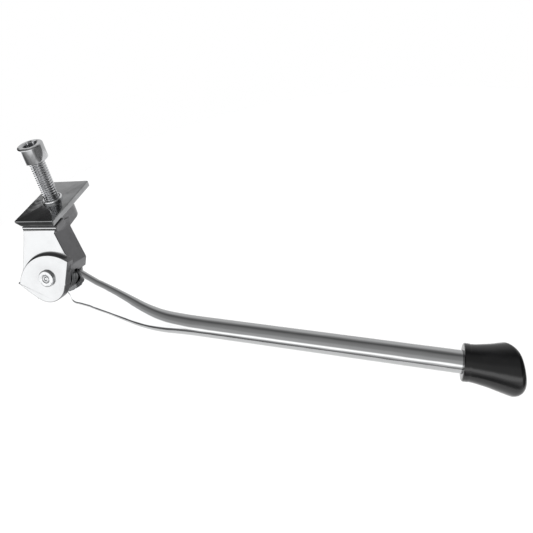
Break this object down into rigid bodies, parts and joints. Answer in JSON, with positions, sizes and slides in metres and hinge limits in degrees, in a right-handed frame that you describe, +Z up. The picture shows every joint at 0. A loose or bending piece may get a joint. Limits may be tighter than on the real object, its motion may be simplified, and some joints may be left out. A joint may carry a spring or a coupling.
{
  "type": "clamp-on kickstand",
  "caption": "Clamp-on side kickstand: slanted bracket, top plate and long cap screw, with a chromed tube leg that folds about a rivet and ends in a flared rubber foot.",
  "frame": {"origin": "on the clamp screw's axis at the bracket's clamping face", "axes": "+X towards the foot of the folded leg, +Y inboard, +Z up along the clamp screw"},
  "size_m": [0.2941, 0.0799, 0.1379],
  "materials": {
    "bright_chrome": "polished",
    "dark_chrome": "polished",
    "screw_chrome": "polished",
    "rivet_steel": "satin",
    "spring_steel": "satin",
    "tube_chrome": "polished",
    "bronze": "satin",
    "black_rubber": "satin"
  },
  "bodies": {
    "bracket": {"bracket_body": "bright_chrome", "pivot_rivet": "rivet_steel", "rivet_washer": "rivet_steel", "front_washer": "rivet_steel", "rear_washer": "spring_steel", "detent_spring": "spring_steel"},
    "plate": {"top_plate": "dark_chrome", "plate_collar": "bright_chrome"},
    "screw": {"clamp_screw": "screw_chrome"},
    "plunger": {"detent_plunger": "spring_steel"},
    "leg": {"leg_tube": "tube_chrome", "detent_disc": "rivet_steel", "drive_pins": "spring_steel", "pivot_bush": "bronze", "foot_washer": "rivet_steel", "rubber_foot": "black_rubber"}
  },
  "joints": [
    {"name": "leg_fold", "type": "hinge", "parent": "bracket", "child": "leg", "pos_m": [0.0048, -0.02695, -0.0346], "axis": [0, 0.9397, -0.342], "range_deg": [0, 92]},
    {"name": "plate_lift", "type": "slide", "parent": "bracket", "child": "plate", "axis": [0, 0, 1], "range_m": [0, 0.017]},
    {"name": "screw_travel", "type": "slide", "parent": "bracket", "child": "screw", "axis": [0, 0, -1], "range_m": [0, 0.01]},
    {"name": "detent_slide", "type": "slide", "parent": "bracket", "child": "plunger", "axis": [0, -0.342, -0.9397], "range_m": [0, 0.0005], "stiffness_N_per_m": 800, "springref_m": 0.004, "deforming": ["detent_spring"]}
  ]
}
